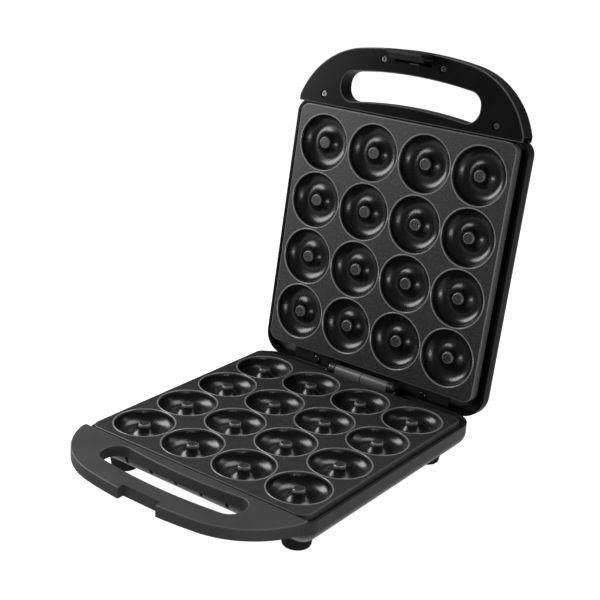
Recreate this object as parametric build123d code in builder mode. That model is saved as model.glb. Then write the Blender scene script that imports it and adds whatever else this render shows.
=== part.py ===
from build123d import *
import os
from math import sqrt

# Ring wells of the two baking plates
well_d = 50.0
pitch_x = 53.0
pitch_y = 53.0
wells_each_way = 4
post_d = 9.6
post_drop = 0.5
post_edge_r = 1.0
well_depth = 9.8
bead_w = 1.4
bead_h = 0.35
cast_wall = 2.5
bowl_flat = 0.5
post_roof = 6.0

# Baking plates
side_margin = 5.0
front_margin = 7.5
rear_margin = 8.5
plate_corner_r = 9.0
plate_edge_r = 1.2
slab_t = 3.0
skirt_depth = 9.0
skirt_wall = 2.5
plate_boss_d = 8.0
plate_boss_depth = 13.0
saddle_l = 10.0
saddle_w = 9.0
hook_x = 60.0
hook_w = 16.0
hook_t = 2.0
hook_l = 3.4
hook_slack = 0.3
lug_w = 16.0
lug_t = 2.5

# Stand height, parting gap and lid opening
plate_height = 38.5
half_gap = 0.7
lid_open = 98.0
grid_mid_y = -4.3

# Shells
shell_wall = 2.5
base_margin = 4.5
lid_margin = 8.0
base_rim = 4.5
lid_rim = 7.0
base_bottom = 25.0
lid_bottom = 27.0
front_wall_gap = 3.0
rear_wall_gap = 14.5
front_corner_r = 13.0
rear_corner_r = 20.0
bottom_edge_r = 12.0
front_rail_half = 100.0

# Handles
handle_inset = 1.0
handle_l = 60.0
handle_lap = 1.2
shoulder_l = 5.0
front_half = 55.0
front_sag = 4.4
slot_half = 70.0
slot_front_l = 38.8
slot_rear_l = 12.0
slot_front_sag = 5.8
slot_rear_sag = 5.8
slot_corner_r = 12.0
handle_wall = 2.2
handle_skin = 2.5
handle_edge_r = 1.2
base_handle_t = 9.5
cover_t = 10.0
lid_handle_t = 18.0

# Joint between the lower handle and the base
tongue_inset = 22.0
tongue_w = 28.0
tongue_l = 12.5
tongue_t = 3.5
tongue_drop = 5.5
tongue_screw_l = 6.2

# Catch
notch_half = 19.0
notch_depth = 6.5
recess_half = 18.5
recess_depth = 11.5
catch_half = 17.0
catch_t = 3.4
catch_inset = 0.6
catch_tail = 12.0
catch_slack = 0.4
hook_lip = 2.0
hook_grip = 2.0
catch_tab = 5.0
pivot_inset = 5.5
pivot_drop = 6.0
pivot_barrel_r = 3.2
pivot_pin_r = 1.5
pivot_pin_grip = 1.8
spring_half = 5.0
spring_t = 0.5

# Hinge
hinge_back = 8.5
strip_drop = 10.0
strip_t = 2.5
strip_half = 84.0
strip_slack = 0.4
ear_x = 31.5
ear_w = 6.0
ear_r = 5.0
barrel_r = 4.5
barrel_split = 0.4
barrel_gap = 0.5
hinge_pin_r = 2.0
pin_head_r = 3.2
pin_head_t = 1.0
pin_slack = 0.2
hinge_notch_half = 37.0
hinge_notch_drop = 10.5
strip_screw_x = 58.0

# Feet
foot_side_inset = 20.5
foot_end_inset = 12.5
foot_top_r = 13.0
foot_bottom_r = 11.0
foot_edge_r = 2.0
foot_pad_r = 14.0
foot_pad_drop = 27.0
foot_bore_r = 4.5
foot_web = 4.0

# Screws
screw_d = 3.0
screw_head_d = 6.0
screw_head_h = 2.0
screw_head_r = 0.7
cross_l = 3.2
cross_w = 0.8
cross_depth = 1.1
screw_slack = 0.05
head_slack = 0.5
boss_d = 9.0
side_screw_inset = 26.0
side_screw_l = 10.5
nose_screw_x = 29.5
nose_screw_inset = 11.0
cover_screw_sink = 3.0

# Heating elements and shields
heater_d = 6.5
heater_turn_r = 18.0
heater_end_x = 10.0
heater_end_inset = 12.0
heater_pin_d = 3.0
heater_pin_l = 7.0
clip_t = 0.8
clip_w = 6.0
heater_slack = 0.1
shield_t = 0.6
shield_drop = 20.4
shield_side_over = 18.5
shield_end_over = 7.5
shield_corner_r = 14.0
shield_boss_d = 12.0

# Controls inside
control_pad_d = 14.0
thermostat_d = 16.0
thermostat_h = 6.0
blade_w = 5.0
blade_t = 0.8
blade_l = 7.0
fuse_l = 15.0
fuse_w = 8.0
fuse_h = 5.0
terminal_x = -48.0
terminal_inset = 26.5
terminal_l = 32.0
terminal_w = 12.0
terminal_h = 7.0
terminal_post_d = 5.0
lens_x = 12.0
lens_inset = 20.0
lens_d = 9.0
lens_rim_d = 11.0
lens_proud = 1.2
lens_l = 6.0
lens_bore_d = 5.0
lamp_l = 8.0
gland_inset = 23.0
gland_drop = 13.4
gland_d = 8.0
gland_flange_d = 10.0
gland_flange_t = 2.5
gland_bore_d = 5.6
gland_tail = 4.0

# Vent slots in the front walls
vent_w = 3.0
vent_count = 6
vent_half = 65.0
vent_top = 9.0
vent_h = 10.0

# Sizes that follow from the ones above
grid_half_x = (wells_each_way - 1) * pitch_x / 2
grid_half_y = (wells_each_way - 1) * pitch_y / 2
well_r = well_d / 2
post_r = post_d / 2
plate_half_w = grid_half_x + well_r + side_margin
plate_front = -(grid_half_y + well_r + front_margin)
plate_rear = grid_half_y + well_r + rear_margin
plate_mid = (plate_front + plate_rear) / 2
base_half_w = plate_half_w + base_margin
lid_half_w = plate_half_w + lid_margin
handle_half_w = base_half_w - handle_inset
shell_front = plate_front - front_wall_gap
shell_rear = plate_rear + rear_wall_gap
hinge_y = plate_rear + hinge_back
lens_y = shell_front + lens_inset
gland_x = gland_inset - base_half_w
vent_step = 2 * vent_half / (vent_count - 1)
handle_rear = plate_front - handle_lap
handle_front = plate_front - handle_l
slot_front = plate_front - slot_front_l
slot_rear = plate_front - slot_rear_l
boss_spots = [(sx * pitch_x, sy * pitch_y) for sx in (-1, 1) for sy in (-1, 1)]
strip_spots = [(-strip_screw_x, hinge_y), (strip_screw_x, hinge_y)]
tongue_x = handle_half_w - tongue_inset
tongue_spots = [(s * tongue_x, shell_front - tongue_l / 2) for s in (-1, 1)]
cover_spots = [(s * (handle_half_w - side_screw_inset), plate_front - side_screw_l) for s in (-1, 1)]
nose_screw_l = handle_l - nose_screw_inset
cover_spots += [(s * nose_screw_x, plate_front - nose_screw_l) for s in (-1, 1)]
foot_x = plate_half_w - foot_side_inset
foot_y = grid_half_y + well_r - foot_end_inset
foot_spots = [(sx * foot_x, sy * foot_y) for sx in (-1, 1) for sy in (-1, 1)]
heater_x = grid_half_x
heater_y = grid_half_y
heater_end_y = plate_rear - heater_end_inset
saddle_spots_y = [(s * heater_x, t * pitch_y / 2) for s in (-1, 1) for t in (-1, 1)]
saddle_spots_x = [(s * pitch_x / 2, -heater_y) for s in (-1, 1)]

# Groove circle of a well through the post, the bottom and the lip
groove_mid = (well_r + post_r) / 2
groove_half = (well_r - post_r) / 2
groove_sag = well_depth - post_drop / 2
groove_r = (groove_half**2 + groove_sag**2) / (2 * groove_sag)
groove_z = groove_r - well_depth
bowl_r = groove_r + cast_wall
bowl_top = groove_mid + sqrt(bowl_r**2 - (groove_z + slab_t) ** 2)
bowl_inner = groove_mid - sqrt(bowl_r**2 - (groove_z + post_roof) ** 2)
bowl_bottom = bowl_r - groove_z
bowl_chord = bowl_r * bowl_flat
heater_drop = bowl_bottom + heater_d / 2 + heater_slack

# The two halves: local x to the side, y to the hinge, z out of the baking face.
# The lid is drawn in its own frame, and each of its pieces is then swung open
base_half = Plane(origin=(0, grid_mid_y, plate_height), x_dir=(1, 0, 0), z_dir=(0, 0, 1))
hinge_point = Pos(0, grid_mid_y + hinge_y, plate_height + half_gap)
lid_closed = Plane(
    origin=(0, grid_mid_y, plate_height + 2 * half_gap), x_dir=(-1, 0, 0), z_dir=(0, 0, -1)
)
lid_place = hinge_point * Rot(-lid_open, 0, 0) * hinge_point.inverse() * lid_closed.location
lid_half = Plane.XY

os.makedirs("parts", exist_ok=True)


def out_of(half):
    return Axis(half.origin, half.z_dir)


def back_of(half):
    return Axis(half.origin, half.y_dir)


def under(half, drop):
    # plane that looks out of the back of a half, same y direction
    return Plane(origin=half.offset(-drop).origin, x_dir=-half.x_dir, z_dir=-half.z_dir)


def cross_screws(plane, spots, length):
    # pan-head screws that sit on the plane with their points behind it
    with BuildPart() as screws:
        with BuildSketch(plane):
            with Locations(*spots):
                Circle(screw_head_d / 2)
        extrude(amount=screw_head_h)
        heads = screws.faces().group_by(Axis(plane.origin, plane.z_dir))[-1]
        fillet(heads.edges(), screw_head_r)
        with BuildSketch(plane):
            with Locations(*spots):
                Circle(screw_d / 2)
        extrude(amount=-length)
        with BuildSketch(plane.offset(screw_head_h)):
            with Locations(*spots):
                Rectangle(cross_l, cross_w)
                Rectangle(cross_w, cross_l)
        extrude(amount=-cross_depth, mode=Mode.SUBTRACT)
    return screws


# Profiles shared by both halves
with BuildSketch() as plate_face:
    with Locations((0, plate_mid)):
        RectangleRounded(2 * plate_half_w, plate_rear - plate_front, plate_corner_r)

with BuildSketch() as handle_face:
    with BuildLine():
        nose = ThreePointArc(
            (-front_half, handle_front + front_sag),
            (0, handle_front),
            (front_half, handle_front + front_sag),
        )
        right = TangentArc(nose @ 1, (handle_half_w, handle_rear - shoulder_l), tangent=nose % 1)
        Polyline(
            right @ 1,
            (handle_half_w, handle_rear),
            (-handle_half_w, handle_rear),
            (-handle_half_w, handle_rear - shoulder_l),
        )
        TangentArc(nose @ 0, (-handle_half_w, handle_rear - shoulder_l), tangent=-(nose % 0))
    make_face()

with BuildSketch() as hand_slot:
    with BuildLine():
        fore = ThreePointArc(
            (-slot_half, slot_front + slot_front_sag),
            (0, slot_front),
            (slot_half, slot_front + slot_front_sag),
        )
        aft = ThreePointArc(
            (-slot_half, slot_rear + slot_rear_sag),
            (0, slot_rear),
            (slot_half, slot_rear + slot_rear_sag),
        )
        Line(fore @ 0, aft @ 0)
        Line(fore @ 1, aft @ 1)
    make_face()
    fillet(hand_slot.vertices(), slot_corner_r)

with BuildSketch() as slot_wall:
    add(hand_slot.sketch)
    offset(amount=handle_wall)

with BuildSketch() as handle_inside:
    add(handle_face.sketch)
    offset(amount=-handle_wall)
    # the hollow runs out to the rear, where the shell's front wall closes it
    with Locations((0, (handle_rear + shell_front) / 2)):
        Rectangle(2 * handle_half_w, abs(handle_rear - shell_front) + 2 * handle_wall)
    add(slot_wall.sketch, mode=Mode.SUBTRACT)


# Baking plate casting with its ring wells, beads, bosses and element saddles
with BuildPart() as well_bowl:
    with BuildSketch(Plane.XZ):
        with BuildLine():
            Polyline((bowl_inner, -post_roof), (0, -post_roof), (0, 0), (bowl_top, 0), (bowl_top, -slab_t))
            Polyline(
                (bowl_top, -slab_t),
                (groove_mid + bowl_chord, -bowl_bottom),
                (groove_mid - bowl_chord, -bowl_bottom),
                (bowl_inner, -post_roof),
            )
        make_face()
    revolve(axis=Axis.Z)

with BuildPart() as well_bead:
    with BuildSketch(Plane.XZ):
        with BuildLine():
            Polyline((well_r + bead_w, 0), (well_r + bead_w, -slab_t / 2), (well_r - bead_w, -slab_t / 2))
            Line((well_r - bead_w, -slab_t / 2), (well_r - bead_w, 0))
            Line((well_r - bead_w, 0), (well_r, 0))
            Polyline(
                (well_r, 0),
                (well_r + bead_w / 3, bead_h),
                (well_r + 2 * bead_w / 3, bead_h),
                (well_r + bead_w, 0),
            )
        make_face()
    revolve(axis=Axis.Z)

with BuildPart() as well_groove:
    with BuildSketch(Plane.XZ) as groove:
        with BuildLine():
            Polyline((post_r, -post_drop), (0, -post_drop), (0, slab_t), (well_r, slab_t), (well_r, 0))
            ThreePointArc((well_r, 0), (groove_mid, -well_depth), (post_r, -post_drop))
        make_face()
        fillet(groove.vertices().sort_by_distance((post_r, -post_drop))[0], post_edge_r)
    revolve(axis=Axis.Z)

with BuildPart() as casting:
    with BuildSketch(Plane.XY.offset(-skirt_depth)):
        add(plate_face.sketch)
    extrude(amount=skirt_depth)
    fillet(casting.faces().sort_by(Axis.Z)[-1].edges(), plate_edge_r)
    with BuildSketch(Plane.XY.offset(-skirt_depth)):
        add(plate_face.sketch)
        offset(amount=-skirt_wall)
    extrude(amount=skirt_depth - slab_t, mode=Mode.SUBTRACT)
    with GridLocations(pitch_x, pitch_y, wells_each_way, wells_each_way):
        add(well_bowl.part)
        add(well_bead.part)
    with BuildSketch(Plane.XY.offset(-plate_boss_depth)):
        with Locations(*boss_spots):
            Circle(plate_boss_d / 2)
        with Locations((0, 0), (0, -pitch_y)):
            Circle(control_pad_d / 2)
    extrude(amount=plate_boss_depth - slab_t / 2)
    with BuildSketch(Plane.XY.offset(-heater_drop)):
        with Locations(*saddle_spots_y):
            Rectangle(saddle_w, saddle_l)
        with Locations(*saddle_spots_x):
            Rectangle(saddle_l, saddle_w)
    extrude(amount=heater_drop - post_roof)
    with GridLocations(pitch_x, pitch_y, wells_each_way, wells_each_way):
        add(well_groove.part, mode=Mode.SUBTRACT)
    with BuildSketch(Plane.XY.offset(-plate_boss_depth)):
        with Locations(*boss_spots):
            Circle(screw_d / 2 + screw_slack)
    extrude(amount=plate_boss_depth - 2 * slab_t, mode=Mode.SUBTRACT)
    with Locations(*[(x, y, -heater_drop) for x, y in saddle_spots_y]):
        Cylinder(heater_d / 2 + heater_slack, 2 * saddle_l, rotation=(90, 0, 0), mode=Mode.SUBTRACT)
    with Locations(*[(x, y, -heater_drop) for x, y in saddle_spots_x]):
        Cylinder(heater_d / 2 + heater_slack, 2 * saddle_l, rotation=(0, 90, 0), mode=Mode.SUBTRACT)

with BuildPart(base_half) as lower_plate:
    add(casting.part)
lower_plate.part.label = "lower_plate"
export_step(lower_plate.part, "parts/lower_plate.step")

# The upper plate hooks into the lid's front wall and has two lugs under the hinge strip
with BuildPart(lid_half) as upper_plate:
    add(casting.part)
    with BuildSketch(lid_half.offset(-skirt_depth)):
        with Locations((-hook_x, plate_front), (hook_x, plate_front)):
            Rectangle(hook_w, hook_l, align=(Align.CENTER, Align.MAX))
            Rectangle(hook_w, skirt_wall, align=(Align.CENTER, Align.MIN))
    extrude(amount=hook_t)
    with BuildSketch(lid_half.offset(-strip_drop - strip_t)):
        with Locations((-strip_screw_x, plate_rear), (strip_screw_x, plate_rear)):
            Rectangle(lug_w, skirt_wall, align=(Align.CENTER, Align.MAX))
    extrude(amount=strip_drop + strip_t - slab_t)
    with BuildSketch(lid_half.offset(-strip_drop - strip_t)):
        with Locations((-strip_screw_x, plate_rear), (strip_screw_x, plate_rear)):
            Rectangle(lug_w, skirt_wall, align=(Align.CENTER, Align.MAX))
            Rectangle(lug_w, hinge_back + lug_t, align=(Align.CENTER, Align.MIN))
        with Locations(*strip_spots):
            Circle(screw_d / 2 + screw_slack, mode=Mode.SUBTRACT)
    extrude(amount=-lug_t)
upper_plate.part = lid_place * upper_plate.part
upper_plate.part.label = "upper_plate"
export_step(upper_plate.part, "parts/upper_plate.step")


def tray(half, half_w, rim, bottom, inset):
    # rounded dish of a shell, drawn in from its outside by inset
    with BuildPart() as dish:
        with BuildSketch(half.offset(inset - bottom)) as outline:
            with Locations((0, (shell_front + shell_rear) / 2)):
                Rectangle(2 * (half_w - inset), shell_rear - shell_front - 2 * inset)
            fillet(outline.vertices().group_by(Axis.Y)[0], front_corner_r - inset)
            fillet(outline.vertices().group_by(Axis.Y)[-1], rear_corner_r - inset)
        extrude(amount=bottom - rim)
        fillet(dish.faces().sort_by(out_of(half))[0].edges(), bottom_edge_r - inset)
    return dish


def front_rail():
    # the front wall rises behind the handle to carry its skin
    with Locations((0, shell_front + shell_wall / 2)):
        Rectangle(2 * front_rail_half, shell_wall)


def vents(half):
    with Locations(half.location * Pos(0, shell_front, -vent_top - vent_h / 2)):
        with GridLocations(vent_step, vent_step, vent_count, 1):
            Box(vent_w, 4 * shell_wall, vent_h, mode=Mode.SUBTRACT)


# Base shell with foot pads, plate bosses, handle tongues and hinge bosses
gland_side = Plane(
    origin=base_half.location.position + Vector(gland_x, shell_rear, -gland_drop),
    x_dir=(1, 0, 0),
    z_dir=(0, 1, 0),
)
with BuildPart() as base_shell:
    add(tray(base_half, base_half_w, base_rim, base_bottom, 0).part)
    with BuildSketch(base_half.offset(-foot_pad_drop)):
        with Locations(*foot_spots):
            Circle(foot_pad_r)
    extrude(amount=foot_pad_drop - base_rim)
    add(tray(base_half, base_half_w, base_rim, base_bottom, shell_wall).part, mode=Mode.SUBTRACT)
    with BuildSketch(base_half.offset(-handle_skin)):
        front_rail()
    extrude(amount=handle_skin - base_rim - shell_wall)
    # tongues that carry the handle
    with BuildSketch(base_half.offset(-tongue_drop - tongue_t)):
        with Locations((-tongue_x, shell_front), (tongue_x, shell_front)):
            Rectangle(tongue_w, tongue_l, align=(Align.CENTER, Align.MAX))
            Rectangle(tongue_w, shell_wall, align=(Align.CENTER, Align.MIN))
    extrude(amount=tongue_t)
    # bosses under the plate with a step for the heat shield
    with BuildSketch(base_half.offset(-base_bottom + shell_wall / 2)):
        with Locations(*boss_spots):
            Circle(boss_d / 2)
    extrude(amount=base_bottom - shell_wall / 2 - plate_boss_depth)
    with BuildSketch(base_half.offset(-base_bottom + shell_wall / 2)):
        with Locations(*boss_spots):
            Circle(shield_boss_d / 2)
    extrude(amount=base_bottom - shell_wall / 2 - shield_drop - shield_t)
    # bosses under the hinge block
    with BuildSketch(base_half.offset(-base_bottom + bottom_edge_r / 2)):
        with Locations(*strip_spots):
            Circle(boss_d / 2)
    extrude(amount=base_bottom - bottom_edge_r / 2 - strip_drop - strip_t)
    # screw ways
    with BuildSketch(base_half.offset(-base_bottom)):
        with Locations(*boss_spots):
            Circle(screw_d / 2 + screw_slack)
    extrude(amount=base_bottom - plate_boss_depth, mode=Mode.SUBTRACT)
    with BuildSketch(base_half.offset(-base_bottom)):
        with Locations(*boss_spots):
            Circle(screw_head_d / 2 + head_slack)
    extrude(amount=2 * shell_wall, mode=Mode.SUBTRACT)
    with BuildSketch(base_half.offset(-foot_pad_drop)):
        with Locations(*foot_spots):
            Circle(screw_d / 2 + screw_slack)
    extrude(amount=2 * shell_wall, mode=Mode.SUBTRACT)
    with BuildSketch(base_half.offset(-strip_drop - strip_t)):
        with Locations(*strip_spots):
            Circle(screw_d / 2 + screw_slack)
    extrude(amount=-2 * shell_wall, mode=Mode.SUBTRACT)
    with BuildSketch(base_half.offset(-tongue_drop - tongue_t)):
        with Locations(*tongue_spots):
            Circle(screw_d / 2 + screw_slack)
    extrude(amount=tongue_t, mode=Mode.SUBTRACT)
    with BuildSketch(base_half.offset(-tongue_drop - tongue_t)):
        with Locations(*tongue_spots):
            Circle(screw_head_d / 2 + head_slack)
    extrude(amount=screw_head_h, mode=Mode.SUBTRACT)
    # room for the ears of the open lid
    with Locations(base_half.location * Pos(0, shell_rear, -hinge_notch_drop)):
        Box(
            2 * hinge_notch_half,
            4 * shell_wall,
            hinge_notch_drop,
            align=(Align.CENTER, Align.CENTER, Align.MIN),
            mode=Mode.SUBTRACT,
        )
    vents(base_half)
    # way in for the cord, through a flat pad in the rear wall
    with BuildSketch(gland_side):
        Circle(gland_flange_d / 2)
    extrude(amount=-2 * shell_wall)
    with BuildSketch(gland_side):
        Circle(gland_d / 2)
    extrude(amount=-4 * shell_wall, mode=Mode.SUBTRACT)
base_shell.part.label = "base_shell"
export_step(base_shell.part, "parts/base_shell.step")

# Lower handle: hollow slab with a hand slot and a notch for the catch
with BuildPart() as lower_handle:
    with BuildSketch(base_half.offset(-base_handle_t)):
        add(handle_face.sketch)
        add(hand_slot.sketch, mode=Mode.SUBTRACT)
    extrude(amount=base_handle_t)
    fillet(lower_handle.faces().sort_by(out_of(base_half))[-1].edges(), handle_edge_r)
    with BuildSketch(base_half.offset(-base_handle_t)):
        with Locations((0, handle_front)):
            Rectangle(2 * notch_half, 2 * notch_depth)
    extrude(amount=base_handle_t, mode=Mode.SUBTRACT)
    with BuildSketch(base_half.offset(-base_handle_t)):
        add(handle_inside.sketch)
        with Locations((0, handle_front)):
            Rectangle(
                2 * (notch_half + handle_wall), 2 * (notch_depth + handle_wall), mode=Mode.SUBTRACT
            )
    extrude(amount=base_handle_t - handle_skin, mode=Mode.SUBTRACT)
    with BuildSketch(base_half.offset(-tongue_drop)):
        with Locations(*tongue_spots):
            Circle(plate_boss_d / 2)
            Circle(screw_d / 2 + screw_slack, mode=Mode.SUBTRACT)
    extrude(amount=tongue_drop - handle_skin)
lower_handle.part.label = "lower_handle"
export_step(lower_handle.part, "parts/lower_handle.step")

lower_handle_screws = cross_screws(
    under(base_half, tongue_drop + tongue_t - screw_head_h), tongue_spots, tongue_screw_l - screw_head_h
)
lower_handle_screws.part.label = "lower_handle_screws"
export_step(lower_handle_screws.part, "parts/lower_handle_screws.step")

# Lid shell with the outer half of the upper handle
with BuildPart() as grip:
    with BuildSketch(lid_half.offset(-lid_handle_t)):
        add(handle_face.sketch)
        add(hand_slot.sketch, mode=Mode.SUBTRACT)
    extrude(amount=lid_handle_t - cover_t)
    fillet(grip.faces().sort_by(out_of(lid_half))[0].edges(), handle_edge_r)

with BuildPart() as lid_shell:
    add(tray(lid_half, lid_half_w, lid_rim, lid_bottom, 0).part)
    add(tray(lid_half, lid_half_w, lid_rim, lid_bottom, shell_wall).part, mode=Mode.SUBTRACT)
    with BuildSketch(lid_half.offset(-handle_skin)):
        front_rail()
    extrude(amount=handle_skin - lid_rim - shell_wall)
    add(grip.part)
    with BuildSketch(lid_half.offset(-cover_t)):
        add(handle_inside.sketch)
        with Locations((0, shell_front)):
            Rectangle(3 * handle_half_w, 2 * handle_half_w, align=(Align.CENTER, Align.MIN), mode=Mode.SUBTRACT)
        with Locations((0, handle_front)):
            Rectangle(
                2 * (recess_half + handle_wall), 2 * (recess_depth + handle_wall), mode=Mode.SUBTRACT
            )
    extrude(amount=handle_skin - lid_handle_t + cover_t, mode=Mode.SUBTRACT)
    # room for the tail of the catch
    with BuildSketch(lid_half.offset(-cover_t)):
        with Locations((0, handle_front)):
            Rectangle(2 * recess_half, 2 * recess_depth)
    extrude(amount=handle_skin - lid_handle_t + cover_t, mode=Mode.SUBTRACT)
    # screw bosses of the handle cover and the hinge strip
    with BuildSketch(lid_half.offset(-lid_handle_t + handle_skin / 2)):
        with Locations(*cover_spots):
            Circle(plate_boss_d / 2)
    extrude(amount=lid_handle_t - handle_skin / 2 - cover_t)
    with BuildSketch(lid_half.offset(-lid_bottom + bottom_edge_r / 2)):
        with Locations(*strip_spots):
            Circle(boss_d / 2)
    extrude(amount=lid_bottom - bottom_edge_r / 2 - strip_drop - strip_t - lug_t)
    with BuildSketch(lid_half.offset(-cover_t)):
        with Locations(*cover_spots):
            Circle(screw_d / 2 + screw_slack)
    extrude(amount=-2 * shell_wall, mode=Mode.SUBTRACT)
    with BuildSketch(lid_half.offset(-strip_drop - strip_t - lug_t)):
        with Locations(*strip_spots):
            Circle(screw_d / 2 + screw_slack)
    extrude(amount=-2 * shell_wall, mode=Mode.SUBTRACT)
    # posts for the heat shield
    with BuildSketch(lid_half.offset(-lid_bottom + shell_wall / 2)):
        with Locations(*boss_spots):
            Circle(shield_boss_d / 2)
    extrude(amount=lid_bottom - shell_wall / 2 - shield_drop - shield_t)
    # slots that the plate hooks into
    with BuildSketch(lid_half.offset(-skirt_depth - hook_slack)):
        with Locations((-hook_x, shell_front + shell_wall / 2), (hook_x, shell_front + shell_wall / 2)):
            Rectangle(hook_w + 2 * hook_slack, 2 * shell_wall)
    extrude(amount=hook_t + 2 * hook_slack, mode=Mode.SUBTRACT)
    with BuildSketch(lid_half.offset(-lid_bottom)):
        with Locations((-lens_x, lens_y), (lens_x, lens_y)):
            Circle(lens_d / 2 + screw_slack)
    extrude(amount=2 * shell_wall, mode=Mode.SUBTRACT)
lid_shell.part = lid_place * lid_shell.part
lid_shell.part.label = "lid_shell"
export_step(lid_shell.part, "parts/lid_shell.step")

# Handle cover: inner half of the upper handle
with BuildPart() as handle_cover:
    with BuildSketch(lid_half.offset(-cover_t)):
        add(handle_face.sketch)
        add(hand_slot.sketch, mode=Mode.SUBTRACT)
    extrude(amount=cover_t)
    fillet(handle_cover.faces().sort_by(out_of(lid_half))[-1].edges(), handle_edge_r)
    with BuildSketch(lid_half.offset(-cover_t)):
        with Locations((0, handle_front)):
            Rectangle(2 * recess_half, 2 * recess_depth)
    extrude(amount=cover_t, mode=Mode.SUBTRACT)
    with BuildSketch(lid_half.offset(-cover_t)):
        add(handle_inside.sketch)
        with Locations((0, handle_front)):
            Rectangle(
                2 * (recess_half + handle_wall), 2 * (recess_depth + handle_wall), mode=Mode.SUBTRACT
            )
    extrude(amount=cover_t - handle_skin, mode=Mode.SUBTRACT)
    with BuildSketch(lid_half.offset(-cover_t)):
        with Locations(*cover_spots):
            Circle(screw_head_d / 2 + head_slack + handle_wall)
    extrude(amount=cover_t - handle_skin / 2)
    with BuildSketch(lid_half):
        with Locations(*cover_spots):
            Circle(screw_head_d / 2 + head_slack)
    extrude(amount=-cover_screw_sink, mode=Mode.SUBTRACT)
    with BuildSketch(lid_half):
        with Locations(*cover_spots):
            Circle(screw_d / 2 + screw_slack)
    extrude(amount=-cover_t, mode=Mode.SUBTRACT)
    # holes for the catch pin in the cheeks of the recess
    with Locations(lid_half.location * Pos(0, handle_front + pivot_inset, -pivot_drop)):
        Cylinder(
            pivot_pin_r,
            2 * (recess_half + pivot_pin_grip),
            rotation=(0, 90, 0),
            mode=Mode.SUBTRACT,
        )
handle_cover.part = lid_place * handle_cover.part
handle_cover.part.label = "handle_cover"
export_step(handle_cover.part, "parts/handle_cover.step")

handle_cover_screws = cross_screws(
    lid_half.offset(-cover_screw_sink), cover_spots, cover_t - cover_screw_sink + shell_wall
)
handle_cover_screws.part = lid_place * handle_cover_screws.part
handle_cover_screws.part.label = "handle_cover_screws"
export_step(handle_cover_screws.part, "parts/handle_cover_screws.step")

# Catch: plate with a hook, turning on a pin in the handle cover
catch_front = handle_front + catch_inset
catch_rear = catch_front + catch_t
pivot_y = handle_front + pivot_inset
hook_under = base_handle_t + 2 * half_gap + catch_slack
catch_reach = hook_under + hook_lip
hook_tip = handle_front + notch_depth + hook_grip
catch_side = Plane(origin=lid_half.origin, x_dir=lid_half.y_dir, z_dir=lid_half.x_dir)
with BuildPart() as catch:
    with BuildSketch(catch_side) as catch_profile:
        with BuildLine():
            Polyline(
                (catch_front, -catch_tail),
                (catch_front, catch_reach + catch_tab),
                (catch_rear, catch_reach + catch_tab),
                (catch_rear, catch_reach),
                (hook_tip, catch_reach - hook_lip / 2),
                (hook_tip, hook_under),
                (catch_rear, hook_under),
                (catch_rear, -catch_tail),
                close=True,
            )
        make_face()
        with Locations((pivot_y, -pivot_drop)):
            Circle(pivot_barrel_r)
            Circle(pivot_pin_r + screw_slack, mode=Mode.SUBTRACT)
    extrude(amount=catch_half, both=True)
    front = catch.faces().sort_by(back_of(lid_half))[0]
    fillet(front.edges(), handle_edge_r)
catch.part = lid_place * catch.part
catch.part.label = "catch"
export_step(catch.part, "parts/catch.step")

with BuildPart() as catch_pin:
    with Locations(lid_half.location * Pos(0, pivot_y, -pivot_drop)):
        Cylinder(pivot_pin_r, 2 * (recess_half + pivot_pin_grip), rotation=(0, 90, 0))
catch_pin.part = lid_place * catch_pin.part
catch_pin.part.label = "catch_pin"
export_step(catch_pin.part, "parts/catch_pin.step")

# Leaf spring between the recess and the tail of the catch
with BuildPart() as catch_spring:
    with BuildSketch(catch_side):
        with BuildLine() as leaf:
            foot_end = (handle_front + recess_depth - spring_t / 2, -handle_skin)
            bend = (handle_front + recess_depth - spring_t / 2, -cover_t)
            tip = (catch_rear + spring_t, -catch_tail + spring_t)
            Line(foot_end, bend)
            TangentArc(bend, tip, tangent=(0, -1))
        trace(line_width=spring_t)
    extrude(amount=spring_half, both=True)
catch_spring.part = lid_place * catch_spring.part
catch_spring.part.label = "catch_spring"
export_step(catch_spring.part, "parts/catch_spring.step")


stem_back = shell_rear - shell_wall - strip_slack - hinge_y


def hinge_strip(half, span):
    # strip across the back of a half, between the plate and the rear wall
    with BuildPart() as strip:
        with BuildSketch(half.offset(-strip_drop - strip_t)):
            with Locations((0, plate_rear + strip_slack)):
                Rectangle(
                    2 * strip_half,
                    shell_rear - shell_wall - plate_rear - 2 * strip_slack,
                    align=(Align.CENTER, Align.MIN),
                )
            with Locations(*strip_spots):
                Circle(screw_d / 2 + screw_slack, mode=Mode.SUBTRACT)
        extrude(amount=strip_t)
        for near, far, radius in span:
            with BuildSketch(Plane(origin=half.origin, x_dir=half.y_dir, z_dir=half.x_dir).offset(near)):
                with Locations((hinge_y - radius, half_gap)):
                    Rectangle(radius + stem_back, strip_drop + half_gap, align=(Align.MIN, Align.MAX))
                with Locations((hinge_y, half_gap)):
                    Circle(radius)
                    Circle(hinge_pin_r + screw_slack, mode=Mode.SUBTRACT)
            extrude(amount=far - near)
    return strip


ear_near = ear_x - ear_w / 2
ear_far = ear_x + ear_w / 2
barrel_far = ear_near - barrel_gap
base_hinge = hinge_strip(
    base_half, ((barrel_split, barrel_far, barrel_r), (-barrel_far, -barrel_split, barrel_r))
)
base_hinge.part.label = "base_hinge"
export_step(base_hinge.part, "parts/base_hinge.step")
lid_hinge_strip = hinge_strip(
    lid_half, ((ear_near, ear_far, ear_r), (-ear_far, -ear_near, ear_r))
)
lid_hinge_strip.part = lid_place * lid_hinge_strip.part
lid_hinge_strip.part.label = "lid_hinge_strip"
export_step(lid_hinge_strip.part, "parts/lid_hinge_strip.step")

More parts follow.
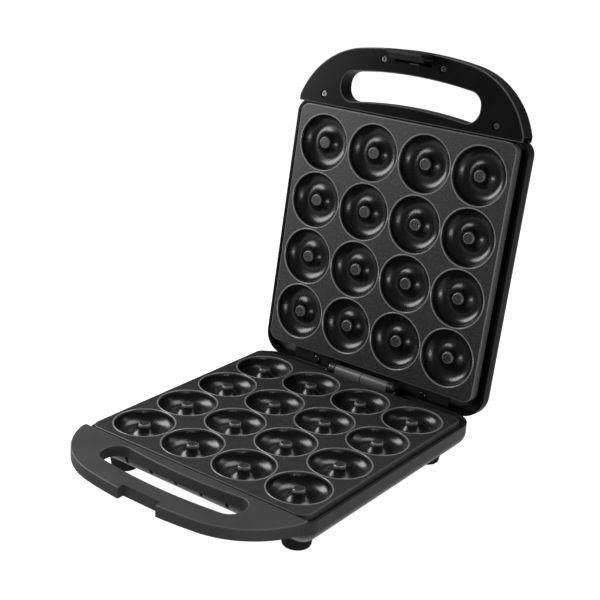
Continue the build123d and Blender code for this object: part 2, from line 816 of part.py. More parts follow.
base_hinge_screws = cross_screws(base_half.offset(-strip_drop), strip_spots, strip_t + shell_wall)
base_hinge_screws.part.label = "base_hinge_screws"
export_step(base_hinge_screws.part, "parts/base_hinge_screws.step")
lid_hinge_screws = cross_screws(
    lid_half.offset(-strip_drop), strip_spots, strip_t + lug_t + shell_wall
)
lid_hinge_screws.part = lid_place * lid_hinge_screws.part
lid_hinge_screws.part.label = "lid_hinge_screws"
export_step(lid_hinge_screws.part, "parts/lid_hinge_screws.step")

# Hinge pin with a rivet head at each end
with BuildPart() as hinge_pin:
    with Locations(base_half.location * Pos(0, hinge_y, half_gap)):
        Cylinder(hinge_pin_r, 2 * (ear_far + pin_slack), rotation=(0, 90, 0))
        with Locations((ear_far + pin_slack + pin_head_t / 2, 0), (-ear_far - pin_slack - pin_head_t / 2, 0)):
            Cylinder(pin_head_r, pin_head_t, rotation=(0, 90, 0))
hinge_pin.part.label = "hinge_pin"
export_step(hinge_pin.part, "parts/hinge_pin.step")

# Feet, each held by a screw in a well from below
foot_h = plate_height - foot_pad_drop
with BuildPart() as foot:
    with BuildSketch(Plane.XZ) as foot_profile:
        with BuildLine():
            Polyline(
                (screw_d / 2 + screw_slack, foot_h),
                (foot_top_r, foot_h),
                (foot_bottom_r, 0),
                (foot_bore_r, 0),
                (foot_bore_r, foot_h - foot_web),
                (screw_d / 2 + screw_slack, foot_h - foot_web),
                close=True,
            )
        make_face()
        fillet(foot_profile.vertices().sort_by_distance((foot_bottom_r, 0))[0], foot_edge_r)
    revolve(axis=Axis.Z)

foot_names = ("foot_front_left", "foot_rear_left", "foot_front_right", "foot_rear_right")
for name, (x, y) in zip(foot_names, foot_spots):
    with BuildPart(Plane(origin=(x, y + grid_mid_y, 0))) as placed_foot:
        add(foot.part)
    placed_foot.part.label = name
    export_step(placed_foot.part, f"parts/{name}.step")

foot_screws = cross_screws(
    under(base_half, foot_pad_drop + foot_web), foot_spots, foot_web + shell_wall
)
foot_screws.part.label = "foot_screws"
export_step(foot_screws.part, "parts/foot_screws.step")

lower_plate_screws = cross_screws(
    under(base_half, base_bottom - 2 * shell_wall),
    boss_spots,
    base_bottom - 2 * shell_wall - plate_boss_depth + shell_wall,
)
lower_plate_screws.part.label = "lower_plate_screws"
export_step(lower_plate_screws.part, "parts/lower_plate_screws.step")


def heater(half):
    # tubular element in a loop under the wells, cold pins to the rear
    level = half.offset(-heater_drop)
    with BuildPart() as loop:
        with BuildLine(level) as path:
            FilletPolyline(
                (-heater_end_x, heater_end_y),
                (-heater_end_x, heater_y),
                (-heater_x, heater_y),
                (-heater_x, -heater_y),
                (heater_x, -heater_y),
                (heater_x, heater_y),
                (heater_end_x, heater_y),
                (heater_end_x, heater_end_y),
                radius=heater_turn_r,
            )
        start = Plane(origin=path.line @ 0, z_dir=path.line % 0)
        with BuildSketch(start):
            Circle(heater_d / 2)
        sweep()
        with BuildSketch(Plane(origin=start.origin, z_dir=half.y_dir, x_dir=half.x_dir)):
            with Locations((0, 0), (2 * heater_end_x, 0)):
                Circle(heater_pin_d / 2)
        extrude(amount=heater_pin_l)
    return loop


lower_heater = heater(base_half)
lower_heater.part.label = "lower_heater"
export_step(lower_heater.part, "parts/lower_heater.step")
upper_heater = heater(lid_half)
upper_heater.part = lid_place * upper_heater.part
upper_heater.part.label = "upper_heater"
export_step(upper_heater.part, "parts/upper_heater.step")


def heater_clips(half):
    # half-round straps under the element, one on each saddle
    inner = heater_d / 2 + heater_slack
    with BuildPart(half) as clips:
        for spots, across in ((saddle_spots_y, Plane.XZ), (saddle_spots_x, Plane.YZ)):
            for x, y in spots:
                side = Plane(origin=(x, y, -heater_drop), x_dir=across.x_dir, z_dir=across.z_dir)
                with BuildSketch(Plane(half.location * side.location)):
                    Circle(inner + clip_t)
                    Circle(inner, mode=Mode.SUBTRACT)
                    Rectangle(
                        4 * inner, 2 * inner, align=(Align.CENTER, Align.MIN), mode=Mode.SUBTRACT
                    )
                extrude(amount=clip_w / 2, both=True)
    return clips


lower_clips = heater_clips(base_half)
lower_clips.part.label = "lower_clips"
export_step(lower_clips.part, "parts/lower_clips.step")
upper_clips = heater_clips(lid_half)
upper_clips.part = lid_place * upper_clips.part
upper_clips.part.label = "upper_clips"
export_step(upper_clips.part, "parts/upper_clips.step")


def heat_shield(half, hole_d):
    with BuildPart() as shield:
        with BuildSketch(half.offset(-shield_drop - shield_t)):
            RectangleRounded(
                2 * (heater_x + shield_side_over), 2 * (heater_y + shield_end_over), shield_corner_r
            )
            if hole_d:
                with Locations(*boss_spots):
                    Circle(hole_d / 2, mode=Mode.SUBTRACT)
        extrude(amount=shield_t)
    return shield


lower_shield = heat_shield(base_half, boss_d + 2 * hook_slack)
lower_shield.part.label = "lower_shield"
export_step(lower_shield.part, "parts/lower_shield.step")
upper_shield = heat_shield(lid_half, 0)
upper_shield.part = lid_place * upper_shield.part
upper_shield.part.label = "upper_shield"
export_step(upper_shield.part, "parts/upper_shield.step")

# Thermostat and thermal fuse on pads behind the upper plate
with BuildPart() as thermostat:
    with BuildSketch(lid_half.offset(-plate_boss_depth)):
        Circle(thermostat_d / 2)
    extrude(amount=-thermostat_h)
    with BuildSketch(lid_half.offset(-plate_boss_depth - thermostat_h / 2)):
        Rectangle(thermostat_d + 2 * blade_l, blade_w)
    extrude(amount=blade_t)
thermostat.part = lid_place * thermostat.part
thermostat.part.label = "thermostat"
export_step(thermostat.part, "parts/thermostat.step")

with BuildPart() as thermal_fuse:
    with BuildSketch(lid_half.offset(-plate_boss_depth)):
        with Locations((0, -pitch_y)):
            RectangleRounded(fuse_l, fuse_w, fuse_w / 4)
    extrude(amount=-fuse_h)
thermal_fuse.part = lid_place * thermal_fuse.part
thermal_fuse.part.label = "thermal_fuse"
export_step(thermal_fuse.part, "parts/thermal_fuse.step")

# Terminal block on the base floor
with BuildPart() as terminal_block:
    with BuildSketch(base_half.offset(shell_wall - base_bottom)):
        with Locations((terminal_x, shell_rear - terminal_inset)):
            Rectangle(terminal_l, terminal_w)
    extrude(amount=terminal_h)
    with BuildSketch(base_half.offset(shell_wall - base_bottom + terminal_h)):
        with Locations((terminal_x, shell_rear - terminal_inset)):
            with GridLocations(terminal_l / 3, terminal_w, 3, 1):
                Circle(terminal_post_d / 2)
    extrude(amount=-terminal_h / 2, mode=Mode.SUBTRACT)
terminal_block.part.label = "terminal_block"
export_step(terminal_block.part, "parts/terminal_block.step")

# Gland where a cord would come in
with BuildPart() as cord_gland:
    with BuildSketch(gland_side):
        Circle(gland_flange_d / 2)
        Circle(gland_bore_d / 2, mode=Mode.SUBTRACT)
    extrude(amount=gland_flange_t)
    with BuildSketch(gland_side):
        Circle(gland_d / 2 - screw_slack)
        Circle(gland_bore_d / 2, mode=Mode.SUBTRACT)
    extrude(amount=-2 * shell_wall - gland_tail)
cord_gland.part.label = "cord_gland"
export_step(cord_gland.part, "parts/cord_gland.step")

# Indicator lenses in the lid and the lamps behind them
lens_plane = under(lid_half, lid_bottom)
for name, x in (("power", lens_x), ("ready", -lens_x)):
    with BuildPart() as lens:
        with BuildSketch(lens_plane):
            with Locations((x, lens_y)):
                Circle(lens_rim_d / 2)
        extrude(amount=lens_proud)
        fillet(lens.faces().sort_by(Axis(lens_plane.origin, lens_plane.z_dir))[-1].edges(), lens_proud / 2)
        with BuildSketch(lens_plane):
            with Locations((x, lens_y)):
                Circle(lens_d / 2)
        extrude(amount=-lens_l)
        with BuildSketch(lens_plane.offset(-lens_l)):
            with Locations((x, lens_y)):
                Circle(lens_bore_d / 2 + screw_slack)
        extrude(amount=lens_l - shell_wall, mode=Mode.SUBTRACT)
    lens.part = lid_place * lens.part
    lens.part.label = f"{name}_lens"
    export_step(lens.part, f"parts/{name}_lens.step")
    with BuildPart() as lamp:
        with BuildSketch(lens_plane.offset(-shell_wall)):
            with Locations((x, lens_y)):
                Circle(lens_bore_d / 2)
        extrude(amount=-lamp_l)
    lamp.part = lid_place * lamp.part
    lamp.part.label = f"{name}_lamp"
    export_step(lamp.part, f"parts/{name}_lamp.step")
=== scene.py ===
import math

import bmesh
import bpy
from mathutils import Matrix, Vector


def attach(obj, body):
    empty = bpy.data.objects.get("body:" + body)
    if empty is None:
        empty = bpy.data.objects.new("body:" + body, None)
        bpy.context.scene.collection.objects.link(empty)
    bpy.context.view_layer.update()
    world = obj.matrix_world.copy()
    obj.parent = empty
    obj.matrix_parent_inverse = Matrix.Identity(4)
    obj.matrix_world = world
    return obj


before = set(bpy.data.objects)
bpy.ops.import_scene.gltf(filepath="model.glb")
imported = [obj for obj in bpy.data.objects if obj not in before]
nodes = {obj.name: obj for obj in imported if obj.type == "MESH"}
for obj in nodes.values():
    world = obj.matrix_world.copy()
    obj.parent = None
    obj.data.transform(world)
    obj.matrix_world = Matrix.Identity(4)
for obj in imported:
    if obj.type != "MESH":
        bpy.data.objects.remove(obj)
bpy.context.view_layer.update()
print("frame loaded,", len(nodes), "nodes")


class Wire:  # a socket that can stand in a sum
    def __init__(self, graph, socket):
        self.graph = graph
        self.socket = socket

    def maths(self, operation, first, second):
        return self.graph.add("ShaderNodeMath", {"operation": operation}, {0: first, 1: second})

    def __add__(self, other):
        return self.maths("ADD", self, other)

    def __radd__(self, other):
        return self.maths("ADD", other, self)

    def __sub__(self, other):
        return self.maths("SUBTRACT", self, other)

    def __rsub__(self, other):
        return self.maths("SUBTRACT", other, self)

    def __mul__(self, other):
        return self.maths("MULTIPLY", self, other)

    def __rmul__(self, other):
        return self.maths("MULTIPLY", other, self)

    def __truediv__(self, other):
        return self.maths("DIVIDE", self, other)

    def __rtruediv__(self, other):
        return self.maths("DIVIDE", other, self)

    def __pow__(self, other):
        return self.maths("POWER", self, other)

    def __rpow__(self, other):
        return self.maths("POWER", other, self)

    def __mod__(self, other):
        return self.maths("FLOORED_MODULO", self, other)

    def __rmod__(self, other):
        return self.maths("FLOORED_MODULO", other, self)

    def __lt__(self, other):
        return self.maths("LESS_THAN", self, other)

    def __gt__(self, other):  # also a number < a wire
        return self.maths("GREATER_THAN", self, other)

    def __abs__(self):
        return self.maths("ABSOLUTE", self, 0.0)

    def atLeast(self, other):
        return self.maths("MAXIMUM", self, other)

    def atMost(self, other):
        return self.maths("MINIMUM", self, other)


class Graph:  # the nodes of a material or of the world
    def __init__(self, tree):
        self.tree = tree
        tree.nodes.clear()

    def add(self, kind, settings, sockets, out=0):
        node = self.tree.nodes.new(kind)
        for name, value in settings.items():
            setattr(node, name, value)
        for name, value in sockets.items():
            self.join(value, node.inputs[name])
        return Wire(self, node.outputs[out]) if node.outputs else None

    def join(self, value, socket):
        if isinstance(value, Wire):
            self.tree.links.new(value.socket, socket)
        else:
            socket.default_value = value


class Skin(Graph):  # one procedural finish
    def __init__(self, name, fixed):
        self.material = bpy.data.materials.new(name)
        self.material.use_nodes = True
        super().__init__(self.material.node_tree)
        self.place = self.add("ShaderNodeTexCoord", {}, {}, "Object")
        surface = self.add("ShaderNodeBsdfPrincipled", {}, fixed)
        self.shader = surface.socket.node
        self.add("ShaderNodeOutputMaterial", {}, {"Surface": surface})

    def feed(self, values):  # into the shader's own sockets
        for name, value in values.items():
            self.join(value, self.shader.inputs[name])

    def noise(self, scale, detail=3.0, rough=0.55, at=None):
        at = at or self.place
        sockets = {"Vector": at, "Scale": scale, "Detail": detail, "Roughness": rough}
        return self.add("ShaderNodeTexNoise", {}, sockets, "Fac")

    def ease(self, value, low, high):  # 0 below low, 1 above high, smooth between
        sockets = {"Value": value, "From Min": low, "From Max": high}
        return self.add("ShaderNodeMapRange", {"interpolation_type": "SMOOTHSTEP"}, sockets)

    def blend(self, factor, first, second):
        sockets = {0: factor, 6: first, 7: second}
        return self.add("ShaderNodeMix", {"data_type": "RGBA"}, sockets, 2)

    def dot(self, first, second):
        sockets = {0: first, 1: second}
        return self.add("ShaderNodeVectorMath", {"operation": "DOT_PRODUCT"}, sockets, "Value")

    def along(self, origin, direction):  # distance from origin along a direction
        sockets = {0: self.place, 1: origin}
        moved = self.add("ShaderNodeVectorMath", {"operation": "SUBTRACT"}, sockets)
        return self.dot(moved, direction)

    def tilt(self, direction):  # 1 on faces that look along a direction, 0 on walls, -1 on their backs
        return self.dot(self.add("ShaderNodeTexCoord", {}, {}, "Normal"), direction)

    def relief(self, height, strength, depth):
        sockets = {"Height": height, "Strength": strength, "Distance": depth}
        self.feed({"Normal": self.add("ShaderNodeBump", {}, sockets)})

    def dress(self, *names):
        for name in names:
            node = nodes[name]
            node.data.materials.clear()
            node.data.materials.append(self.material)


def grey(value, tint=0.0):  # tint leans it to blue
    return (value, value * (1 + tint / 2), value * (1 + tint), 1.0)


def sway(span, wave):  # a first value, and what a 0 to 1 wave adds to it
    least, more = span
    return least + more * wave


# camera at the photographed angle
cameraView = {
    "azimuth": 37.198,
    "elevation": 20.315,
    "roll": 2.942,
    "distance": 0.993092,
    "target": (-0.01709, -0.0043, 0.140167),
    "lens": 73.4,
    "sensor": 36.0,
    "shift": (0.05, 0.003),
    "clip": (0.01, 50.0),
}


def placeCamera(spec):
    turn, rise, roll = (math.radians(spec[k]) for k in ("azimuth", "elevation", "roll"))
    back = Vector((math.sin(turn) * math.cos(rise), -math.cos(turn) * math.cos(rise), math.sin(rise)))
    level = Vector((math.cos(turn), math.sin(turn), 0))
    upright = back.cross(level)
    right = level * math.cos(roll) + upright * math.sin(roll)
    up = upright * math.cos(roll) - level * math.sin(roll)
    data = bpy.data.cameras.new("camera")
    data.sensor_width = spec["sensor"]
    data.lens = spec["lens"]
    data.shift_x, data.shift_y = spec["shift"]
    data.clip_start, data.clip_end = spec["clip"]
    camera = bpy.data.objects.new("camera", data)
    bpy.context.scene.collection.objects.link(camera)
    axes = Matrix((right, up, back)).transposed().to_4x4()
    stand = Vector(spec["target"]) + back * spec["distance"]
    camera.matrix_world = Matrix.Translation(stand) @ axes
    bpy.context.scene.camera = camera


placeCamera(cameraView)
print("camera placed")

# white sweep and soft lamps
studio = {
    "floorSide": 12.0,
    "floorSeen": 0.965,
    "floorGlow": 0.22,
    "floorWhite": 0.3,
    "floorRough": 0.9,
    "skySeen": 1.0,
    "skyLight": 0.12,
    "lamps": (
        # name, from, towards, width, height, power
        ("leftLamp", (-0.54, -0.2, 0.46), (0.0, 0.12, 0.18), 0.34, 0.5, 5.4),
        ("rightLamp", (1.02, -1.0, 0.11), (0.0, 0.1, 0.15), 0.7, 0.18, 6.5),
        ("topLamp", (0.2, 0.62, 1.45), (0.0, -0.05, 0.05), 1.0, 0.7, 14.0),
        ("rimLamp", (1.0, 1.0, 0.9), (0.0, 0.1, 0.15), 0.5, 0.9, 4.0),
    ),
}


def lightSky(spec):  # white to the camera, dim to the object
    world = bpy.data.worlds.new("sweepLight")
    bpy.context.scene.world = world
    world.use_nodes = True
    sky = Graph(world.node_tree)
    direct = sky.add("ShaderNodeLightPath", {}, {}, "Is Camera Ray")
    white = grey(1.0)
    dim = sky.add("ShaderNodeBackground", {}, {"Color": white, "Strength": spec["skyLight"]})
    plain = sky.add("ShaderNodeBackground", {}, {"Color": white, "Strength": spec["skySeen"]})
    mixed = sky.add("ShaderNodeMixShader", {}, {0: direct, 1: dim, 2: plain})
    sky.add("ShaderNodeOutputWorld", {}, {"Surface": mixed})


def layFloor(spec):
    half = spec["floorSide"] / 2
    mesh = bpy.data.meshes.new("floor")
    corners = [(-half, -half, 0), (half, -half, 0), (half, half, 0), (-half, half, 0)]
    mesh.from_pydata(corners, [], [(0, 1, 2, 3)])
    floor = bpy.data.objects.new("floor", mesh)
    bpy.context.scene.collection.objects.link(floor)
    fixed = {"Roughness": spec["floorRough"], "Specular IOR Level": 0.0, "Emission Strength": 1.0}
    paint = Skin("floorPaint", {"Base Color": grey(spec["floorWhite"]), **fixed})
    direct = paint.add("ShaderNodeLightPath", {}, {}, "Is Camera Ray")
    glow = paint.blend(direct, grey(spec["floorGlow"]), grey(spec["floorSeen"]))
    paint.feed({"Emission Color": glow})
    mesh.materials.append(paint.material)


def hangLamps(spec):
    for name, start, towards, width, height, power in spec["lamps"]:
        data = bpy.data.lights.new(name, "AREA")
        data.shape = "RECTANGLE"
        data.size = width
        data.size_y = height
        data.energy = power
        lamp = bpy.data.objects.new(name, data)
        lamp.location = start
        lamp.rotation_mode = "QUATERNION"
        lamp.rotation_quaternion = (Vector(towards) - Vector(start)).to_track_quat("-Z", "Y")
        bpy.context.scene.collection.objects.link(lamp)


bpy.context.scene.view_settings.view_transform = "Standard"
lightSky(studio)
layFloor(studio)
hangLamps(studio)
print("floor and lamps placed")

# non-stick coat of the two cast plates, with painted shade in the wells and painted highlights on the
# beads, post edges and border; each fade is measured from the radius it softens
coat = {
    "pitch": (0.053, 0.053),
    "across": 2.0,  # pitches from the middle to the end of the pattern
    "wellRadius": 0.025,
    "wellFade": (-0.0004, 0.0002),
    "beadWidth": 0.0014,
    "beadStart": (-0.0003, 0.0003),
    "beadEnd": (-0.0004, 0.0),
    "postRadius": 0.0048,
    "postFade": (-0.0009, -0.0003),
    "ringStart": (-0.0008, -0.0004),
    "ringEnd": (0.0002, 0.0006),
    "plateHalf": (0.1095, 0.1125),
    "plateMid": (0.0, 0.0005),
    "cornerRadius": 0.009,
    "borderFade": (-0.0013, -0.00026),
    # strength of the painted highlight along each plate's border
    "borderHighlight": {"lower_plate": 0.12, "upper_plate": 0.8},
    "dark": grey(0.004, 0.03),
    "pale": grey(0.011, 0.03),
    "fleck": grey(0.12),
    # colour of the painted highlights on the beads, post edges and border
    "beadHighlight": grey(0.25),
    # painted shade in the wells, and how much of it there is
    "wellPaintedShade": grey(0.003),
    "wellShadeShare": (0.65, 0.25),
    "highlightShare": (0.5, 0.4),
    "fleckShare": 0.5,
    "flatRough": 0.5,
    "wellRough": 0.27,
    "beadRough": 0.24,
    "cloudRough": 0.1,
    "grainRough": 0.12,
    "specular": 0.45,
    "grainScale": 900.0,
    "grainDetail": 2.0,
    "grainSpan": (0.3, 0.7),
    "fleckScale": 1600.0,
    "fleckDetail": 0.0,
    "fleckSpan": (0.66, 0.74),
    "cloudScale": 22.0,
    "grainDepth": 0.00006,
    "grainStrength": 0.35,
    "wellSmooth": 0.95,
}
# middle of each plate's face, and its two directions
plateFrames = {
    "lower_plate": ((0, -0.0043, 0.0385), (1, 0, 0), (0, 1, 0)),
    "upper_plate": ((0, 0.134802, 0.159420), (-1, 0, 0), (0, -0.139173, -0.990268)),
}


def coatPlate(name, spec):
    skin = Skin(name + "Coat", {"Specular IOR Level": spec["specular"]})

    def beyond(distance, radius, fade):  # 0 within a radius, 1 outside it
        return skin.ease(distance, radius + fade[0], radius + fade[1])

    origin, *directions = plateFrames[name]
    corner = spec["cornerRadius"]
    apart, past = [], []  # from the nearest well's middle, and past the corner's middle
    inside = 1.0
    runs = zip(directions, spec["pitch"], spec["plateHalf"], spec["plateMid"])
    for direction, pitch, half, middle in runs:
        travel = skin.along(origin, direction)
        steps = travel / pitch
        apart.append((steps % 1.0 - 0.5) * pitch)  # wells stand at half pitches
        past.append((abs(travel - middle) - (half - corner)).atLeast(0.0))
        inside = inside * (abs(steps) < spec["across"])
    reach = (apart[0] * apart[0] + apart[1] * apart[1]) ** 0.5
    border = (past[0] * past[0] + past[1] * past[1]) ** 0.5

    # masks of the wells (where shade is painted), and of the painted highlights on their beads, on the
    # edge of each post and along the plate's border
    rim = spec["wellRadius"]
    edge = rim + spec["beadWidth"]
    stem = spec["postRadius"]
    post = 1 - beyond(reach, stem, spec["postFade"])
    postRingHighlight = beyond(reach, stem, spec["ringStart"]) * (1 - beyond(reach, stem, spec["ringEnd"])) * inside
    well = (1 - beyond(reach, rim, spec["wellFade"])) * inside * (1 - post)
    beadHighlight = beyond(reach, rim, spec["beadStart"]) * (1 - beyond(reach, edge, spec["beadEnd"])) * inside
    borderHighlight = beyond(border, corner, spec["borderFade"])
    # all painted highlights in one mask, which also lowers roughness
    highlightMask = (beadHighlight + spec["borderHighlight"][name] * borderHighlight + postRingHighlight).atMost(1.0)

    grain = skin.noise(spec["grainScale"], spec["grainDetail"])
    cloud = skin.noise(spec["cloudScale"])
    speck = skin.noise(spec["fleckScale"], spec["fleckDetail"])
    fleck = skin.ease(speck, *spec["fleckSpan"]) * (1 - well)
    body = skin.blend(skin.ease(grain, *spec["grainSpan"]), spec["dark"], spec["pale"])
    body = skin.blend(fleck * spec["fleckShare"], body, spec["fleck"])
    # painted shade in the wells
    body = skin.blend(well * sway(spec["wellShadeShare"], cloud), body, spec["wellPaintedShade"])
    # painted highlights on the beads, post edges and border
    body = skin.blend(highlightMask * sway(spec["highlightShare"], cloud), body, spec["beadHighlight"])
    flat = spec["flatRough"]
    rough = flat + spec["cloudRough"] * (cloud - 0.5) + spec["grainRough"] * (grain - 0.5)
    rough = rough + well * (spec["wellRough"] - flat) + highlightMask * (spec["beadRough"] - flat)
    skin.feed({"Base Color": body, "Roughness": rough})
    skin.relief(grain * (1 - spec["wellSmooth"] * well), spec["grainStrength"], spec["grainDepth"])
    skin.dress(name)


for plate in plateFrames:
    coatPlate(plate, coat)
print("plates coated")

# moulded plastics and rubber: cloudy tone, fine grain, uneven gloss, a painted edge highlight on some
# and a painted floor reflection on the base
lidFace = (0, -0.990268, 0.139173)
mouldings = {
    "lidGloss": {
        "nodes": ("lid_shell", "handle_cover"),
        "dark": grey(0.0035),
        "pale": grey(0.0060),
        "rough": (0.20, 0.30),
        "grain": 1500.0,
        "depth": 0.00001,
        "strength": 0.06,
        # painted highlight on the rounded edges
        "edge": {"face": lidFace, "tone": grey(0.14)},
        "fixed": {"Specular IOR Level": 0.08},
    },
    "baseSatin": {
        "nodes": ("base_shell",),
        "dark": grey(0.012),
        "pale": grey(0.020),
        "rough": (0.24, 0.34),
        "grain": 1800.0,
        "depth": 0.00002,
        "strength": 0.3,
        # painted reflection of the floor on the rolled-under walls
        "under": {"roll": (0.05, 0.85), "flat": (0.95, 1.0), "tone": grey(0.30)},
        "fixed": {"Specular IOR Level": 0.5},
    },
    "gripMatte": {
        "nodes": ("lower_handle",),
        "dark": grey(0.023, 0.03),
        "pale": grey(0.036, 0.03),
        "rough": (0.5, 0.62),
        "grain": 1400.0,
        "depth": 0.00005,
        "strength": 0.45,
        # painted highlight on the rounded edges
        "edge": {"face": (0, 0, 1), "tone": grey(0.085)},
        "fixed": {"Specular IOR Level": 0.4},
    },
    "catchSatin": {
        "nodes": ("catch",),
        "dark": grey(0.004),
        "pale": grey(0.008),
        "rough": (0.34, 0.46),
        "grain": 1600.0,
        "depth": 0.00003,
        "strength": 0.35,
        "fixed": {"Specular IOR Level": 0.22},
    },
    "stripSatin": {
        "nodes": ("lid_hinge_strip",),
        "dark": grey(0.008),
        "pale": grey(0.015),
        "rough": (0.3, 0.42),
        "grain": 1500.0,
        "depth": 0.00004,
        "strength": 0.3,
        "fixed": {"Specular IOR Level": 0.35},
    },
    "hingeSatin": {
        "nodes": ("base_hinge",),
        "dark": grey(0.06),
        "pale": grey(0.11),
        "rough": (0.26, 0.38),
        "grain": 1500.0,
        "depth": 0.00004,
        "strength": 0.4,
        "fixed": {"Specular IOR Level": 0.45},
    },
    "footRubber": {
        "nodes": ("foot_front_left", "foot_front_right", "foot_rear_left", "foot_rear_right"),
        "dark": grey(0.006),
        "pale": grey(0.012),
        "rough": (0.5, 0.7),
        "grain": 1100.0,
        "depth": 0.00006,
        "strength": 0.45,
        "fixed": {"Specular IOR Level": 0.15},
    },
    "glandRubber": {
        "nodes": ("cord_gland",),
        "dark": grey(0.010),
        "pale": grey(0.020),
        "rough": (0.5, 0.7),
        "grain": 1300.0,
        "depth": 0.00005,
        "strength": 0.4,
        "fixed": {},
    },
    "paleCeramic": {
        "nodes": ("terminal_block", "thermal_fuse"),
        "dark": (0.52, 0.49, 0.43, 1),
        "pale": (0.66, 0.64, 0.58, 1),
        "rough": (0.45, 0.6),
        "grain": 1200.0,
        "depth": 0.00004,
        "strength": 0.3,
        "fixed": {},
    },
}
mouldedTone = {
    "cloudScale": 30.0,
    "cloudDetail": 4.0,
    "grainDetail": 2.0,
    "cloudShare": 0.6,
    "span": (0.3, 0.7),
    # share of the painted edge highlight
    "rubbed": (0.55, 0.45),
}


def mould(name, spec, tone):
    skin = Skin(name, spec["fixed"])
    grain = skin.noise(spec["grain"], tone["grainDetail"])
    cloud = skin.noise(tone["cloudScale"], tone["cloudDetail"])
    share = tone["cloudShare"]
    mottle = skin.ease(share * cloud + (1 - share) * grain, *tone["span"])
    body = skin.blend(mottle, spec["dark"], spec["pale"])
    if "edge" in spec:  # painted highlight, lighter where a face rolls over into its wall
        facing = skin.tilt(spec["edge"]["face"]) ** 2
        rolledHighlight = 4 * facing * (1 - facing)
        body = skin.blend(rolledHighlight * sway(tone["rubbed"], cloud), body, spec["edge"]["tone"])
    if "under" in spec:  # painted reflection of the floor, paler where a wall rolls under, but not on the flat bottom
        drop = skin.tilt((0, 0, -1))
        roll = skin.ease(drop, *spec["under"]["roll"]) * (1 - skin.ease(drop, *spec["under"]["flat"]))
        body = skin.blend(roll, body, spec["under"]["tone"])
    low, high = spec["rough"]
    skin.feed({"Base Color": body, "Roughness": low + (high - low) * (cloud + grain) / 2})
    skin.relief(grain, spec["strength"], spec["depth"])
    skin.dress(*spec["nodes"])
    return skin.material


finishes = {name: mould(name, spec, mouldedTone) for name, spec in mouldings.items()}
print("plastics and rubber moulded")

# low cheeks that stand on the base hinge strip, outside the lid's two ears
cheek = {
    "across": (0.0361, 0.0383),
    "front": 0.1125,
    "rear": 0.1210,
    "foot": 0.0282,
    "top": 0.0382,
    "cornerRadius": 0.0016,
    "cornerSteps": 6,
    "edgeRound": 0.0004,
    "edgeSteps": 3,
    "sharp": 1.0,  # edges that turn by more radians than this are rounded
    "finish": "stripSatin",
}


def cheekOutline(spec):
    radius = spec["cornerRadius"]
    points = [(spec["front"], spec["foot"]), (spec["rear"], spec["foot"])]
    high = spec["top"] - radius
    for middle, start in ((spec["rear"] - radius, 0), (spec["front"] + radius, 90)):
        for step in range(spec["cornerSteps"] + 1):
            turn = math.radians(start + 90 * step / spec["cornerSteps"])
            points.append((middle + radius * math.cos(turn), high + radius * math.sin(turn)))
    return points


def buildCheek(name, side, spec):
    shape = bmesh.new()
    outline = cheekOutline(spec)
    inner, outer = ([shape.verts.new((side * x, y, z)) for y, z in outline] for x in spec["across"])
    shape.faces.new(inner)
    shape.faces.new(outer)
    for at in range(len(outline)):
        shape.faces.new((inner[at - 1], inner[at], outer[at], outer[at - 1]))
    bmesh.ops.recalc_face_normals(shape, faces=shape.faces)
    above = [e for e in shape.edges if all(v.co.z > spec["foot"] for v in e.verts)]
    rims = [e for e in above if e.calc_face_angle(0) > spec["sharp"]]
    rounding = {"offset": spec["edgeRound"], "segments": spec["edgeSteps"], "profile": 0.5}
    bmesh.ops.bevel(shape, geom=rims, affect="EDGES", **rounding)
    mesh = bpy.data.meshes.new(name)
    shape.to_mesh(mesh)
    shape.free()
    piece = bpy.data.objects.new(name, mesh)
    bpy.context.scene.collection.objects.link(piece)
    mesh.materials.append(finishes[spec["finish"]])
    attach(piece, "base")


buildCheek("hinge_cheek_left", -1, cheek)
buildCheek("hinge_cheek_right", 1, cheek)
print("hinge cheeks stood up")

# metals: tone, streaks along one axis, heat tint or blacking
metals = {
    "blackedScrew": {
        "nodes": (
            "handle_cover_screws",
            "lower_handle_screws",
            "lower_plate_screws",
            "foot_screws",
            "base_hinge_screws",
            "lid_hinge_screws",
            "catch_spring",
        ),
        "dark": grey(0.05),
        "pale": grey(0.24),
        "rough": (0.2, 0.34),
        "stretch": (900.0, 900.0, 900.0),
    },
    "brightPin": {
        "nodes": ("hinge_pin", "catch_pin", "lower_clips", "upper_clips"),
        "dark": grey(0.30),
        "pale": grey(0.52),
        "rough": (0.2, 0.36),
        "stretch": (120.0, 1800.0, 1800.0),
    },
    "dulledElement": {
        "nodes": ("lower_heater", "upper_heater"),
        "dark": (0.13, 0.11, 0.09, 1),
        "pale": (0.34, 0.31, 0.27, 1),
        "rough": (0.38, 0.6),
        "stretch": (260.0, 260.0, 700.0),
    },
    "millSheet": {
        "nodes": ("lower_shield", "upper_shield"),
        "dark": grey(0.48),
        "pale": grey(0.66),
        "rough": (0.3, 0.46),
        "stretch": (40.0, 1600.0, 1600.0),
    },
    "controlCan": {
        "nodes": ("thermostat",),
        "dark": (0.36, 0.34, 0.29, 1),
        "pale": (0.58, 0.56, 0.5, 1),
        "rough": (0.26, 0.42),
        "stretch": (700.0, 700.0, 700.0),
    },
}
metalTone = {
    "streakDetail": 4.0,
    "streakRough": 0.6,
    "cloudScale": 60.0,
    "span": (0.3, 0.7),
    "strength": 0.2,
    "depth": 0.00002,
}


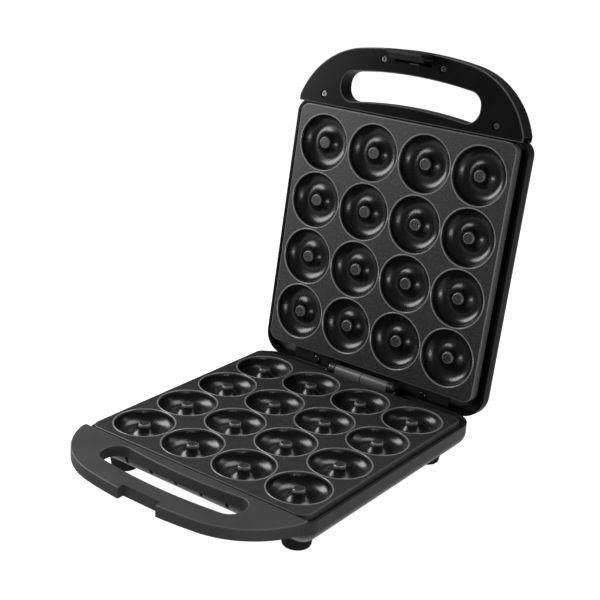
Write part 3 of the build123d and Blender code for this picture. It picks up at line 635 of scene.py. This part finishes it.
def metal(name, spec, tone):
    skin = Skin(name, {"Metallic": 1.0})
    sockets = {0: skin.place, 1: spec["stretch"]}
    stretched = skin.add("ShaderNodeVectorMath", {"operation": "MULTIPLY"}, sockets)
    streak = skin.noise(1.0, tone["streakDetail"], tone["streakRough"], stretched)
    cloud = skin.noise(tone["cloudScale"])
    mottle = skin.ease((streak + cloud) / 2, *tone["span"])
    low, high = spec["rough"]
    skin.feed({"Base Color": skin.blend(mottle, spec["dark"], spec["pale"])})
    skin.feed({"Roughness": low + (high - low) * streak})
    skin.relief(streak, tone["strength"], tone["depth"])
    skin.dress(*spec["nodes"])


for name, spec in metals.items():
    metal(name, spec, metalTone)
print("metals finished")

# lenses and the lamps behind them
glasses = {
    "redLens": {
        "nodes": ("power_lens",),
        "dark": (0.25, 0.006, 0.004, 1),
        "pale": (0.5, 0.02, 0.012, 1),
    },
    "greenLens": {
        "nodes": ("ready_lens",),
        "dark": (0.006, 0.16, 0.03, 1),
        "pale": (0.02, 0.36, 0.07, 1),
    },
    "lampGlass": {
        "nodes": ("power_lamp", "ready_lamp"),
        "dark": (0.62, 0.55, 0.46, 1),
        "pale": (0.85, 0.8, 0.72, 1),
    },
}
glassTone = {
    "fixed": {"Coat Weight": 0.6, "Coat Roughness": 0.03, "IOR": 1.49},
    "cloudScale": 180.0,
    "ribScale": 900.0,
    "ribDetail": 1.0,
    "span": (0.3, 0.7),
    "rough": (0.1, 0.12),
    "strength": 0.15,
    "depth": 0.00002,
}


def glass(name, spec, tone):
    skin = Skin(name, tone["fixed"])
    cloud = skin.noise(tone["cloudScale"])
    ribs = skin.noise(tone["ribScale"], tone["ribDetail"])
    body = skin.blend(skin.ease(cloud, *tone["span"]), spec["dark"], spec["pale"])
    skin.feed({"Base Color": body, "Roughness": sway(tone["rough"], ribs)})
    skin.relief(ribs, tone["strength"], tone["depth"])
    skin.dress(*spec["nodes"])


for name, spec in glasses.items():
    glass(name, spec, glassTone)
print("lenses tinted")
